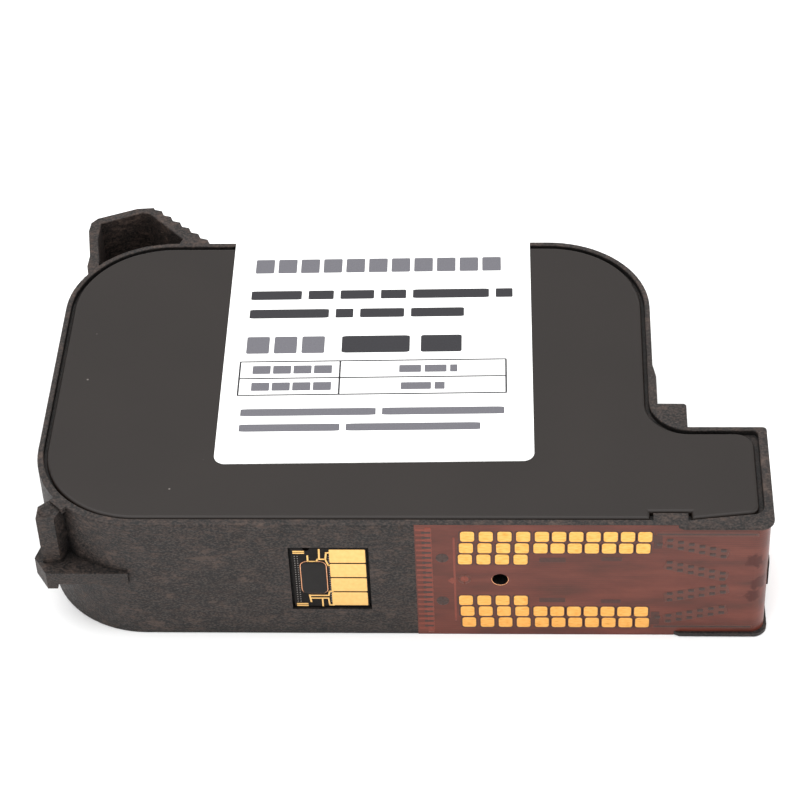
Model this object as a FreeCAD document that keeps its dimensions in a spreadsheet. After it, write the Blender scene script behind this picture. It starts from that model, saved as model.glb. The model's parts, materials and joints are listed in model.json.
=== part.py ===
import FreeCAD, Part
import math
import os
import Sketcher

# Half-inch thermal inkjet cartridge for a date code printer, lying on its side.
# +X points the way the nozzles fire, +Y away from the contact face, +Z out of the upper cover.
# The origin is the middle of the footprint, on the surface that the cartridge lies on.

doc = FreeCAD.newDocument("print_cartridge")
V = FreeCAD.Vector

# ---------------------------------------------------------------- driving dimensions (mm)
DIMENSIONS = [
    ("length_total", 102.2, "left wall to the end of the nozzle lips"),
    ("thickness", 21.7, "cover face to cover face"),
    ("body_length", 86.7, "left wall to right wall, without the snout"),
    ("body_depth", 60.4, "contact face to back wall"),
    ("grip_reach", 8.8, "how far the finger grip stands out behind the back wall"),
    ("snout_depth", 19.6, "contact face to the back of the snout"),
    ("corner_radius", 15.0, "three large corners of the casing"),
    ("snout_back_radius", 0.6, "back corner of the snout"),
    ("snout_front_radius", 2.0, "corner that the flexible circuit bends round"),
    ("wall", 2.0, "casing wall"),
    ("front_wall", 3.0, "casing wall behind the contacts"),
    ("end_wall", 4.0, "casing wall that carries the printhead"),
    ("rim", 0.8, "rim round the covers"),
    ("rim_front", 1.3, "rim along the contact face and the snout end"),
    ("recess_depth", 0.9, "depth of the recess that a cover drops into"),
    ("cover_thickness", 0.8, "cover sheet"),
    ("rim_radius", 0.22, "rounding of the rims"),
    ("cover_edge_radius", 0.5, "rounding of a cover's outer edges"),
    ("cover_gap", 0.5, "gap round the covers"),
    ("cover_gap_front", 0.15, "gap along the contact face and the snout end"),
    ("cover_inner_radius", 6.0, "cover's inside corner at the snout"),
    ("cover_gap_end", 0.65, "gap at the snout end"),
    ("cover_back_radius", 2.6, "cover's back corner at the snout end"),
    ("cover_front_radius", 1.6, "cover's front corner at the snout end"),
    ("recess_back_radius", 0.8, "recess's back corner at the snout end"),
    ("snout_rise", 1.3, "how far the cover's front edge runs back, from the lug to the snout end"),
    ("inner_radius", 1.5, "small corners inside the casing and the liner"),
    ("lip_out", 0.4, "how far the lips stand out past the flexible circuit"),
    ("lip_height", 0.75, "height of the lower lip"),
    ("lip_height_top", 0.35, "height of the upper lip"),
    ("lip_start", 89.2, "left wall to the start of the lips"),
    ("lug_start", 85.8, "left wall to the cover lug"),
    ("lug_width", 4.8, "cover lug"),
    ("lug_reach", 1.3, "how far the lug reaches over the recess"),
    ("lug_gap", 0.4, "gap round the lug"),
    ("step_out", 0.45, "thicker lower part of the right wall"),
    ("step_depth", 30.2, "contact face to the top of that part"),
    ("step_slope", 2.5, "length of the slope at its top"),
    ("datum_length", 4.5, "datum block in the inner corner, along the snout"),
    ("datum_depth", 4.8, "datum block, behind the snout"),
    ("datum_radius", 0.5, "datum block's corner"),
    ("grip_wall", 1.25, "walls of the finger grip"),
    ("grip_web", 1.6, "web between the grip's two pockets"),
    ("tooth_run", 1.55, "serration pitch along the length"),
    ("tooth_rise", 1.4, "serration pitch along the depth"),
    ("tooth_count", 6, "serrations on the grip"),
    ("post_width", 2.5, "keying post at the front left corner"),
    ("post_inset", 1.4, "left wall to the post"),
    ("post_front", 1.7, "contact face plane to the post"),
    ("post_drop", 0.5, "top of the post below the rim"),
    ("cup_radius", 1.05, "round dished cup in the post's top"),
    ("cup_depth", 0.5, "its depth"),
    ("shelf_low", 10.4, "underside of the corner shelf"),
    ("shelf_height", 2.1, "thickness of the corner shelf"),
    ("shelf_end", 13.4, "left wall to the shelf's right end"),
    ("foot_drop", 0.9, "how far the foot under the post hangs below the shelf"),
    ("foot_width", 3.4, "left wall to the foot's right side"),
    ("gate_width", 2.6, "gate tab on the corner"),
    ("gate_out", 0.75, "how far the tab stands out of the corner"),
    ("gate_height", 0.9, "its height"),
    ("hole_radius", 1.2, "locating hole through the contacts"),
    ("hole_depth", 2.2, "its depth in the casing"),
    ("hole_along", 65.0, "left wall to the locating hole"),
    ("flex_thickness", 0.12, "flexible circuit"),
    ("flex_start", 53.4, "left wall to the flexible circuit"),
    ("flex_back", 18.4, "contact face to the far edge of the circuit on the end face"),
    ("pad_size", 1.92, "contact pad"),
    ("pad_thickness", 0.05, "contact pad"),
    ("pad_radius", 0.3, "contact pad's corners"),
    ("pad_start", 60.6, "left wall to the first pad's centre"),
    ("pad_pitch", 2.54, "first five columns"),
    ("pad_pitch_fine", 2.33, "other columns"),
    ("pad_rise", 0.2, "centre line of the contacts and the locating hole above the middle plane"),
    ("pad_rows_outer", 8.55, "outer rows from the centre line"),
    ("pad_rows_middle", 6.3, "middle rows"),
    ("pad_rows_inner", 4.1, "inner rows"),
    ("die_length", 14.6, "silicon die, along the depth"),
    ("die_width", 4.2, "silicon die, across the thickness"),
    ("die_thickness", 0.62, "silicon die"),
    ("die_gap", 0.2, "gap round the die"),
    ("glue_thickness", 0.1, "adhesive behind the die"),
    ("barrier_thickness", 0.04, "ink barrier on the die"),
    ("plate_thickness", 0.06, "nozzle plate"),
    ("slot_length", 12.9, "ink slot"),
    ("slot_width", 1.0, "ink slot"),
    ("bead_width", 1.5, "encapsulant bead"),
    ("bead_height", 0.15, "encapsulant bead"),
    ("chip_start", 36.3, "left wall to the memory board"),
    ("chip_length", 10.4, "memory board, along the length"),
    ("chip_height", 11.6, "memory board, across the thickness"),
    ("chip_thickness", 0.6, "memory board"),
    ("chip_sink", 0.25, "board's face behind the contact face"),
    ("chip_glue", 0.1, "adhesive behind the board"),
    ("chip_gap", 0.35, "gap round the board"),
    ("chip_rise", 0.35, "board's centre above the middle plane"),
    ("chip_pad_length", 5.0, "memory contact, along the length"),
    ("chip_pad_height", 2.6, "memory contact"),
    ("chip_pad_pitch", 2.85, "memory contacts"),
    ("chip_pad_margin", 0.15, "memory contacts to the board's right edge"),
    ("glob_length", 3.5, "resin over the memory chip, along the length"),
    ("glob_height", 6.2, "resin, across the thickness"),
    ("glob_thickness", 0.3, "resin"),
    ("liner_gap", 0.05, "liner to casing"),
    ("liner_wall", 1.8, "liner round the ink bag"),
    ("liner_inset", 2.2, "liner's faces below the cover faces"),
    ("passage_depth", 2.6, "ink passage over the filters"),
    ("filter_thickness", 0.3, "filter screen"),
    ("filter_size", 8.0, "filter window"),
    ("filter_lap", 0.7, "filter screen past its window"),
    ("film_thickness", 0.15, "bag film"),
    ("film_lap", 0.5, "bag film inside the casing's cavity"),
    ("piston_length", 58.0, "pressure plate"),
    ("piston_depth", 40.0, "pressure plate"),
    ("piston_thickness", 0.5, "pressure plate"),
    ("piston_radius", 8.0, "pressure plate's corners"),
    ("piston_gap", 0.05, "pressure plate to film"),
    ("spring_width", 8.0, "bow spring strip"),
    ("spring_thickness", 0.4, "bow spring strip"),
    ("spring_span", 46.0, "bow spring, foot to foot"),
    ("spring_gap", 0.1, "bow spring to the plates"),
    ("spring_foot", 1.0, "height of each half of the end joints"),
    ("spring_end", 1.2, "length of the end joints"),
    ("ball_radius", 2.0, "fill port ball"),
    ("port_gap", 0.05, "ball to port"),
    ("port_sink", 0.2, "ball behind the right wall"),
    ("port_depth", 37.5, "contact face to the fill port"),
    ("label_width", 44.7, "label"),
    ("label_depth", 48.5, "label, on the cover"),
    ("label_start", 25.05, "left wall to the label at its front edge"),
    ("label_front", 11.9, "contact face to the label's front edge"),
    ("label_turn", 0.9, "label's turn on the cover, degrees"),
    ("label_thickness", 0.1, "label"),
    ("label_radius", 1.6, "label's corners"),
    ("label_tail", 7.0, "label's tail down the back wall"),
]

sheet = doc.addObject("Spreadsheet::Sheet", "dims")
sheet.Label = "dims"
for row, (alias, value, note) in enumerate(DIMENSIONS, start=1):
    sheet.set(f"A{row}", note)
    sheet.set(f"B{row}", str(value))
    sheet.setAlias(f"B{row}", alias)
doc.recompute()

# Planes and lines of the casing, as expressions of the sheet.
LEFT = "(-dims.length_total / 2)"
RIGHT = "(dims.length_total / 2)"
BODY_RIGHT = f"({LEFT} + dims.body_length)"
FRONT = "(dims.lip_out - (dims.lip_out + dims.body_depth + dims.grip_reach) / 2)"
LIP = f"({FRONT} - dims.lip_out)"
BACK = f"({FRONT} + dims.body_depth)"
SNOUT_BACK = f"({FRONT} + dims.snout_depth)"
TOP = "dims.thickness"
MIDDLE = "(dims.thickness / 2)"
PAD_MIDDLE = f"({MIDDLE} + dims.pad_rise)"
END_FACE = f"({RIGHT} - dims.lip_out)"
SNOUT_MIDDLE = f"({FRONT} + dims.snout_depth / 2)"


def number(expression):
    """The present value of an expression, in millimetres or degrees."""
    value = sheet.evalExpression(expression)
    return float(getattr(value, "Value", value))


# ---------------------------------------------------------------- ways of making a solid
def plane_of(body, role):
    for feature in body.Origin.OriginFeatures:
        if feature.Role == role:
            return feature
    raise RuntimeError("no plane " + role)


def add_polygon(sketch, corners):
    """A closed outline through the corners, each held by two bound dimensions."""
    points = [V(number(x), number(y), 0) for x, y in corners]
    count = len(points)
    for index in range(count):
        sketch.addGeometry(Part.LineSegment(points[index], points[(index + 1) % count]))
    for index in range(count):
        following = (index + 1) % count
        sketch.addConstraint(Sketcher.Constraint("Coincident", index, 2, following, 1))
    for index, (x, y) in enumerate(corners):
        for kind, expression in (("DistanceX", x), ("DistanceY", y)):
            dimension = Sketcher.Constraint(kind, -1, 1, index, 1, number(expression))
            place = sketch.addConstraint(dimension)
            sketch.setExpression(f"Constraints[{place}]", expression)


def edges_at(shape, plane, place):
    """Names of the straight edges along the plane's normal that stand at one corner."""
    keep = {"XY_Plane": (0, 1), "XZ_Plane": (0, 2), "YZ_Plane": (1, 2)}[plane]
    found = []
    for index, edge in enumerate(shape.Edges, start=1):
        ends = [vertex.Point for vertex in edge.Vertexes]
        if len(ends) == 2 and all(abs(end[keep[0]] - place[0]) < 1e-4 for end in ends):
            if all(abs(end[keep[1]] - place[1]) < 1e-4 for end in ends):
                found.append(f"Edge{index}")
    return found


def prism(label, corners, low, high, plane="XY_Plane"):
    """A PartDesign body: an outline padded from low to high, then its corners rounded.

    A corner is (across, up, radius), with None for a sharp one. On the XZ plane the
    outline is drawn in X and Z and padded along Y, on the YZ plane in Y and Z along X.
    """
    body = doc.addObject("PartDesign::Body", label)
    body.Label = label
    sketch = body.newObject("Sketcher::SketchObject", label + "_sketch")
    sketch.AttachmentSupport = [(plane_of(body, plane), "")]
    sketch.MapMode = "FlatFace"
    start = f"-({high})" if plane == "XZ_Plane" else low
    sketch.setExpression("AttachmentOffset.Base.z", start)
    add_polygon(sketch, [(x, y) for x, y, radius in corners])
    pad = body.newObject("PartDesign::Pad", label + "_pad")
    pad.Profile = sketch
    pad.setExpression("Length", f"({high}) - ({low})")
    doc.recompute()
    last = pad
    for radius in dict.fromkeys(corner[2] for corner in corners if corner[2]):
        names = []
        for x, y, wanted in corners:
            if wanted == radius:
                names += edges_at(last.Shape, plane, (number(x), number(y)))
        fillet = body.newObject("PartDesign::Fillet", label + "_fillet")
        fillet.Base = (last, names)
        fillet.setExpression("Radius", radius)
        doc.recompute()
        last = fillet
    body.Tip = last
    return body


def box(label, x, y, z, length, depth, height):
    solid = doc.addObject("Part::Box", label)
    solid.Label = label
    solid.setExpression("Length", length)
    solid.setExpression("Width", depth)
    solid.setExpression("Height", height)
    for axis, expression in zip("xyz", (x, y, z)):
        solid.setExpression("Placement.Base." + axis, expression)
    return solid


def turn_towards(solid, direction):
    """Lays a solid of revolution, made along +Z, along another axis."""
    turns = {"+X": ((0, 1, 0), 90), "+Y": ((1, 0, 0), -90), "-Y": ((1, 0, 0), 90)}
    if direction in turns:
        axis, angle = turns[direction]
        solid.Placement.Rotation = FreeCAD.Rotation(V(*axis), angle)


def cylinder(label, x, y, z, radius, height, direction="+Z"):
    solid = doc.addObject("Part::Cylinder", label)
    solid.Label = label
    solid.setExpression("Radius", radius)
    solid.setExpression("Height", height)
    turn_towards(solid, direction)
    for axis, expression in zip("xyz", (x, y, z)):
        solid.setExpression("Placement.Base." + axis, expression)
    return solid


def ball(label, x, y, z, radius):
    solid = doc.addObject("Part::Sphere", label)
    solid.Label = label
    solid.setExpression("Radius", radius)
    for axis, expression in zip("xyz", (x, y, z)):
        solid.setExpression("Placement.Base." + axis, expression)
    return solid


def cut(label, base, tool):
    result = doc.addObject("Part::Cut", label)
    result.Label = label
    result.Base = base
    result.Tool = tool
    return result


def fuse(label, solids):
    result = doc.addObject("Part::MultiFuse", label)
    result.Label = label
    result.Shapes = solids
    return result


def round_edges(label, base, radius, chosen):
    """Rounds the chosen edges, picked by their bounding boxes, of a solid made by booleans."""
    doc.recompute()
    result = doc.addObject("Part::Fillet", label)
    result.Label = label
    result.Base = base
    size = number(radius)
    edges = enumerate(base.Shape.Edges, start=1)
    result.Edges = [(index, size, size) for index, edge in edges if chosen(edge.BoundBox)]
    return result


def lies_at(level):
    """A test for edges that lie in one horizontal plane."""
    height = number(level)
    return lambda bounds: abs(bounds.ZMin - height) < 1e-5 and abs(bounds.ZMax - height) < 1e-5


def offset_casing(inset, inset_front, inset_end, big, inner, snout):
    """The casing's outline moved inwards, without its steps, block and grip."""
    left = f"{LEFT} + {inset}"
    front = f"{FRONT} + {inset_front}"
    end = f"{RIGHT} - {inset_end}"
    snout_back = f"{SNOUT_BACK} - {inset}"
    right = f"{BODY_RIGHT} - {inset}"
    back = f"{BACK} - {inset}"
    return [(left, front, big), (end, front, snout), (end, snout_back, snout),
            (right, snout_back, inner), (right, back, big), (left, back, big)]


def cover_outline(gap, gap_front, gap_end, front_radius, back_radius):
    """An outline for a cover or its seat, whose front edge runs back from the lug to the snout end."""
    inset = f"(dims.rim + {gap})"
    corners = offset_casing(inset, f"(dims.rim_front + {gap_front})", f"(dims.rim_front + {gap_end})",
                            f"(dims.corner_radius - {inset})", "dims.cover_inner_radius", back_radius)
    bend = (f"{LEFT} + dims.lug_start + dims.lug_width + dims.lug_gap", corners[0][1], None)
    tip = (corners[1][0], f"{corners[1][1]} + dims.snout_rise", front_radius)
    return [corners[0], bend, tip] + corners[2:]


# ---------------------------------------------------------------- frame: outer shape
LIP_X = f"({LEFT} + dims.lip_start)"
STEP_X = f"({BODY_RIGHT} + dims.step_out)"
STEP_Y = f"({FRONT} + dims.step_depth)"
DATUM_X = f"({BODY_RIGHT} + dims.datum_length)"
DATUM_Y = f"({SNOUT_BACK} + dims.datum_depth)"

casing = prism("casing", [
    (LEFT, FRONT, "dims.corner_radius"),
    (LIP_X, FRONT, None),
    (f"{LIP_X} + 2 * dims.lip_out", LIP, None),
    (RIGHT, LIP, "dims.snout_front_radius"),
    (RIGHT, SNOUT_BACK, "dims.snout_back_radius"),
    (DATUM_X, SNOUT_BACK, None),
    (DATUM_X, DATUM_Y, "dims.datum_radius"),
    (STEP_X, DATUM_Y, None),
    (STEP_X, STEP_Y, None),
    (BODY_RIGHT, f"{STEP_Y} + dims.step_slope", None),
    (BODY_RIGHT, BACK, "dims.corner_radius"),
    (LEFT, BACK, "dims.corner_radius"),
], "0", TOP)


def from_corner(x, y):
    """A place measured from the left wall and from the back wall."""
    return f"{LEFT} + {x}", f"{BACK} + {y}"


# The finger grip: a hollow wedge whose long slope is serrated.
teeth = []
for tooth in range(int(number("dims.tooth_count"))):
    step_x = f"10.9 + {tooth} * dims.tooth_run"
    step_y = f"dims.grip_reach - 0.45 - {tooth} * dims.tooth_rise"
    teeth.append(from_corner(step_x, step_y))
    teeth.append(from_corner(f"{step_x} + dims.tooth_run * 0.72", f"{step_y} - dims.tooth_rise * 0.25"))
grip_outline = [from_corner("4.0", "-9.0"), from_corner("2.2", "-6.5"), from_corner("1.95", "-5.2"),
                from_corner("2.05", "-2.8"), from_corner("1.15", "3.2"), from_corner("1.3", "5.1"),
                from_corner("2.2", "6.2"), from_corner("8.1", "dims.grip_reach - 0.2"),
                from_corner("10.7", "dims.grip_reach")]
grip_outline += teeth + [from_corner("20.2", "0"), from_corner("20.2", "-3.0")]
grip = prism("grip", [(x, y, None) for x, y in grip_outline], "0", TOP)

pocket_outline = [from_corner("3.9", "-9.0"), from_corner("3.7", "-4.0"), from_corner("2.9", "1.0"),
                  from_corner("2.9", "4.9"), from_corner("9.1", "dims.grip_reach - dims.grip_wall"),
                  from_corner("10.2", "dims.grip_reach - dims.grip_wall - 0.3"),
                  from_corner("15.9", "1.1"), from_corner("15.2", "-1.0")]
pocket_corners = [(x, y, None) for x, y in pocket_outline]
upper_pocket = prism("upper_pocket", pocket_corners, f"{MIDDLE} + dims.grip_web / 2", f"{TOP} + 1")
lower_pocket = prism("lower_pocket", pocket_corners, "-1", f"{MIDDLE} - dims.grip_web / 2")
pockets = fuse("pockets", [upper_pocket, lower_pocket])
grip_shell = cut("grip_shell", grip, pockets)

# The keying bracket at the front left corner: a shelf that squares off the round corner,
# with a post on its left end and a cup in the post's top.
SHELF_TOP = "(dims.shelf_low + dims.shelf_height)"
shelf = prism("shelf", [
    (f"{LEFT} + 2.0", LIP, None),
    (f"{LEFT} + dims.shelf_end", LIP, None),
    (f"{LEFT} + dims.shelf_end", f"{FRONT} + 3", None),
    (f"{LEFT} + 6", f"{FRONT} + 6", None),
    (f"{LEFT} + 0.6", f"{FRONT} + 4.7", None),
    (f"{LEFT} + 0.05", f"{FRONT} + 2.6", None),
], "dims.shelf_low", SHELF_TOP)
foot = prism("foot", [
    (f"{LEFT} + 2.0", LIP, None),
    (f"{LEFT} + dims.foot_width", LIP, None),
    (f"{LEFT} + dims.foot_width", f"{FRONT} + 6", None),
    (f"{LEFT} + 0.6", f"{FRONT} + 4.7", None),
    (f"{LEFT} + 0.05", f"{FRONT} + 2.6", None),
], "dims.shelf_low - dims.foot_drop", SHELF_TOP)
post = prism("post", [
    (f"{LEFT} + dims.post_inset", f"{FRONT} + dims.post_front", None),
    (f"{LEFT} + dims.post_inset + dims.post_width", f"{FRONT} + dims.post_front", None),
    (f"{LEFT} + dims.post_inset + dims.post_width + 1.5", f"{FRONT} + 5", None),
    (f"{LEFT} + dims.post_inset + 2.2", f"{FRONT} + 6", None),
    (f"{LEFT} + dims.post_inset", f"{FRONT} + 4.0", None),
], "dims.shelf_low", f"{TOP} - dims.post_drop")
cup_x = f"{LEFT} + dims.post_inset + dims.post_width / 2"
cup_y = f"{FRONT} + dims.post_front + dims.post_width / 2"
CUP_BALL = "(dims.cup_radius ^ 2 + dims.cup_depth ^ 2) / (2 * dims.cup_depth)"
cup = ball("cup", cup_x, cup_y, f"{TOP} - dims.post_drop - dims.cup_depth + {CUP_BALL}", CUP_BALL)
# The gate tab stands square on the round corner: its outer edge lies gate_out past the corner's arc.
ARC_45 = "(dims.corner_radius * (1 - cos(45)))"
HALF_TAB = "(dims.gate_width / 2 * cos(45))"
TAB_OUT = "(dims.gate_out * cos(45))"
TAB_IN = "(dims.rim * cos(45))"
gate = prism("gate", [
    (f"{LEFT} + {ARC_45} - {TAB_OUT} - {HALF_TAB}", f"{FRONT} + {ARC_45} - {TAB_OUT} + {HALF_TAB}", None),
    (f"{LEFT} + {ARC_45} - {TAB_OUT} + {HALF_TAB}", f"{FRONT} + {ARC_45} - {TAB_OUT} - {HALF_TAB}", None),
    (f"{LEFT} + {ARC_45} + {TAB_IN} + {HALF_TAB}", f"{FRONT} + {ARC_45} + {TAB_IN} - {HALF_TAB}", None),
    (f"{LEFT} + {ARC_45} + {TAB_IN} - {HALF_TAB}", f"{FRONT} + {ARC_45} + {TAB_IN} + {HALF_TAB}", None),
], f"{TOP} - dims.gate_height", TOP)
frame_solid = fuse("frame_solid", [casing, grip_shell, shelf, foot, post, gate])

# ---------------------------------------------------------------- frame: what is cut out
cavity_corners = offset_casing("dims.wall", "dims.front_wall", "dims.end_wall",
                               "(dims.corner_radius - dims.wall)", "dims.inner_radius", "dims.inner_radius")
cavity = prism("cavity", cavity_corners, "-1", f"{TOP} + 1")


def recess(label, low, high):
    """The cover's seat, which leaves the lug standing at the front rim."""
    seat = prism(label + "_seat", cover_outline("0", "0", "0", "dims.inner_radius", "dims.recess_back_radius"),
                 low, high)
    lug = box(label + "_lug", f"{LEFT} + dims.lug_start", f"{FRONT} + dims.rim_front - 1", low,
              "dims.lug_width", "dims.lug_reach + 1", f"({high}) - ({low})")
    return cut(label, seat, lug)


top_recess = recess("top_recess", f"{TOP} - dims.recess_depth", f"{TOP} + 1")
bottom_recess = recess("bottom_recess", "-1", "dims.recess_depth")

# The flexible circuit lies in a shallow band, between the lips where there are lips.
FLEX_X = f"({LEFT} + dims.flex_start)"
FLEX_IN = "dims.flex_thickness"
FLEX_BACK = f"({FRONT} + dims.flex_back)"
band = box("band", FLEX_X, f"{FRONT} - 2", "-1", f"{LIP_X} - {FLEX_X}", f"2 + {FLEX_IN}", f"{TOP} + 2")
channel = prism("channel", [
    (f"{LIP_X} - 1", f"{FRONT} - 2", None),
    (f"{RIGHT} + 2", f"{FRONT} - 2", None),
    (f"{RIGHT} + 2", FLEX_BACK, None),
    (f"{END_FACE} - {FLEX_IN}", FLEX_BACK, None),
    (f"{END_FACE} - {FLEX_IN}", f"{FRONT} + {FLEX_IN}", "(dims.snout_front_radius - dims.flex_thickness)"),
    (f"{LIP_X} - 1", f"{FRONT} + {FLEX_IN}", None),
], "dims.lip_height", f"{TOP} - dims.lip_height_top")

HOLE_X = f"({LEFT} + dims.hole_along)"
locating_hole = cylinder("locating_hole", HOLE_X, f"{FRONT} + dims.flex_thickness + dims.hole_depth",
                         PAD_MIDDLE, "dims.hole_radius", "dims.hole_depth + 2", "-Y")

DIE_STACK = "(dims.die_thickness + dims.glue_thickness)"
DIE_BED = f"({END_FACE} - {FLEX_IN} - {DIE_STACK})"
die_bed = box("die_bed", DIE_BED, f"{SNOUT_MIDDLE} - dims.die_length / 2 - dims.die_gap",
              f"{MIDDLE} - dims.die_width / 2 - dims.die_gap", "3", "dims.die_length + 2 * dims.die_gap",
              "dims.die_width + 2 * dims.die_gap")
ink_slot = box("ink_slot", f"{RIGHT} - dims.end_wall - 1", f"{SNOUT_MIDDLE} - dims.slot_length / 2",
               f"{MIDDLE} - dims.slot_width / 2", "dims.end_wall + 2", "dims.slot_length", "dims.slot_width")

CHIP_X = f"({LEFT} + dims.chip_start)"
CHIP_MIDDLE = f"({MIDDLE} + dims.chip_rise)"
CHIP_BED = "(dims.chip_sink + dims.chip_thickness + dims.chip_glue)"
chip_bed = box("chip_bed", f"{CHIP_X} - dims.chip_gap", f"{FRONT} - 1",
               f"{CHIP_MIDDLE} - dims.chip_height / 2 - dims.chip_gap", "dims.chip_length + 2 * dims.chip_gap",
               f"1 + {CHIP_BED}", "dims.chip_height + 2 * dims.chip_gap")
PORT_Y = f"({FRONT} + dims.port_depth)"
port = cylinder("port", f"{BODY_RIGHT} - 7", PORT_Y, MIDDLE, "dims.ball_radius + dims.port_gap", "10", "+X")

frame_cuts = fuse("frame_cuts", [cavity, top_recess, bottom_recess, band, channel, locating_hole,
                                 die_bed, ink_slot, chip_bed, port, cup])
sharp_frame = cut("sharp_frame", frame_solid, frame_cuts)
on_top = lies_at(TOP)
on_base = lies_at("0")
bracket_x = number(LEFT) + number("dims.corner_radius") / 2
bracket_y = number(FRONT) + number("dims.corner_radius") / 2 + 1


def rim_edge(bounds):
    """Edges of both rims, apart from the few where the gate tab meets the rim."""
    near_gate = bounds.XMax < bracket_x and bounds.YMax < bracket_y
    return on_base(bounds) or (on_top(bounds) and not near_gate)


frame = round_edges("frame", sharp_frame, "dims.rim_radius", rim_edge)

# ---------------------------------------------------------------- covers
def cover(label, low, high):
    """A sheet with a notch round the lug, dropped into its recess."""
    outline = cover_outline("dims.cover_gap", "dims.cover_gap_front", "dims.cover_gap_end",
                            "dims.cover_front_radius", "dims.cover_back_radius")
    sheet_body = prism(label + "_sheet", outline, low, high)
    notch = box(label + "_notch", f"{LEFT} + dims.lug_start - dims.lug_gap", f"{FRONT}", f"{low} - 1",
                "dims.lug_width + 2 * dims.lug_gap", "dims.rim_front + dims.lug_reach + dims.lug_gap / 2",
                "dims.cover_thickness + 2")
    return cut(label + "_sharp", sheet_body, notch)


top_cover = round_edges("top_cover", cover("top_cover", f"{TOP} - dims.cover_thickness", TOP),
                        "dims.cover_edge_radius", on_top)
bottom_cover = round_edges("bottom_cover", cover("bottom_cover", "0", "dims.cover_thickness"),
                           "dims.cover_edge_radius", on_base)

# ---------------------------------------------------------------- liner and ink path
LINER_LOW = "dims.liner_inset"
LINER_HIGH = f"({TOP} - dims.liner_inset)"
liner_edge = "(dims.wall + dims.liner_gap)"
liner_corners = offset_casing(liner_edge, "(dims.front_wall + dims.liner_gap)",
                              "(dims.end_wall + dims.liner_gap)",
                              f"(dims.corner_radius - {liner_edge})", "dims.inner_radius", "dims.inner_radius")
liner_solid = prism("liner_solid", liner_corners, LINER_LOW, LINER_HIGH)
BAG_LEFT = f"({LEFT} + {liner_edge} + dims.liner_wall)"
BAG_RIGHT = f"({BODY_RIGHT} - {liner_edge} - dims.liner_wall)"
BAG_FRONT = f"({FRONT} + dims.front_wall + dims.liner_gap + dims.liner_wall)"
BAG_BACK = f"({BACK} - {liner_edge} - dims.liner_wall)"
bag_radius = f"(dims.corner_radius - {liner_edge} - dims.liner_wall)"
bag_space = prism("bag_space", [
    (BAG_LEFT, BAG_FRONT, bag_radius), (BAG_RIGHT, BAG_FRONT, "3"),
    (BAG_RIGHT, BAG_BACK, bag_radius), (BAG_LEFT, BAG_BACK, bag_radius)], "-1", f"{TOP} + 1")
PASSAGE_END = f"({RIGHT} - dims.end_wall - 2)"
PASSAGE_FRONT = f"({SNOUT_MIDDLE} + 0.4 - dims.filter_size / 2 - 1)"
passage_width = "dims.filter_size + 2"
upper_passage = box("upper_passage", f"{BAG_RIGHT} - 1", PASSAGE_FRONT, f"{LINER_HIGH} - dims.passage_depth",
                    f"{PASSAGE_END} - {BAG_RIGHT} + 1", passage_width, "10")
lower_passage = box("lower_passage", f"{BAG_RIGHT} - 1", PASSAGE_FRONT, f"{LINER_LOW} + dims.passage_depth - 10",
                    f"{PASSAGE_END} - {BAG_RIGHT} + 1", passage_width, "10")
FILTER_X = f"({PASSAGE_END} - dims.filter_size - 1)"
FILTER_Y = f"({PASSAGE_FRONT} + 1)"
chamber = box("chamber", FILTER_X, FILTER_Y, f"{LINER_LOW} + dims.passage_depth - 1", "dims.filter_size",
              "dims.filter_size", f"{LINER_HIGH} - {LINER_LOW} - 2 * dims.passage_depth + 2")
outlet = box("outlet", f"{FILTER_X} + 1", f"{SNOUT_MIDDLE} - dims.slot_length / 2 + 3", f"{MIDDLE} - 1.5",
             "dims.filter_size + 6", "dims.slot_length - 6", "3")
liner_port = cylinder("liner_port", f"{BAG_RIGHT} - 2", PORT_Y, MIDDLE, "dims.ball_radius + dims.port_gap",
                      "8", "+X")
liner_cuts = fuse("liner_cuts", [bag_space, upper_passage, lower_passage, chamber, outlet, liner_port])
inner_frame = cut("inner_frame", liner_solid, liner_cuts)


def filter_screen(label, z):
    """A fine woven screen staked over one side of the chamber."""
    side = "dims.filter_size + 2 * dims.filter_lap"
    return box(label, f"{FILTER_X} - dims.filter_lap", f"{FILTER_Y} - dims.filter_lap", z, side, side,
               "dims.filter_thickness")


upper_filter = filter_screen("upper_filter", f"{LINER_HIGH} - dims.passage_depth")
lower_filter = filter_screen("lower_filter", f"{LINER_LOW} + dims.passage_depth - dims.filter_thickness")

fill_ball = ball("fill_ball", f"{BODY_RIGHT} - dims.ball_radius - dims.port_sink", PORT_Y, MIDDLE, "dims.ball_radius")

# ---------------------------------------------------------------- ink bag
film_edge = "(dims.wall + dims.film_lap)"
film_corners = offset_casing(film_edge, "(dims.front_wall + dims.film_lap)", "(dims.end_wall + dims.film_lap)",
                             f"(dims.corner_radius - {film_edge})", "dims.inner_radius", "dims.inner_radius")
upper_film = prism("upper_film", film_corners, LINER_HIGH, f"{LINER_HIGH} + dims.film_thickness")
lower_film = prism("lower_film", film_corners, f"{LINER_LOW} - dims.film_thickness", LINER_LOW)

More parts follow.
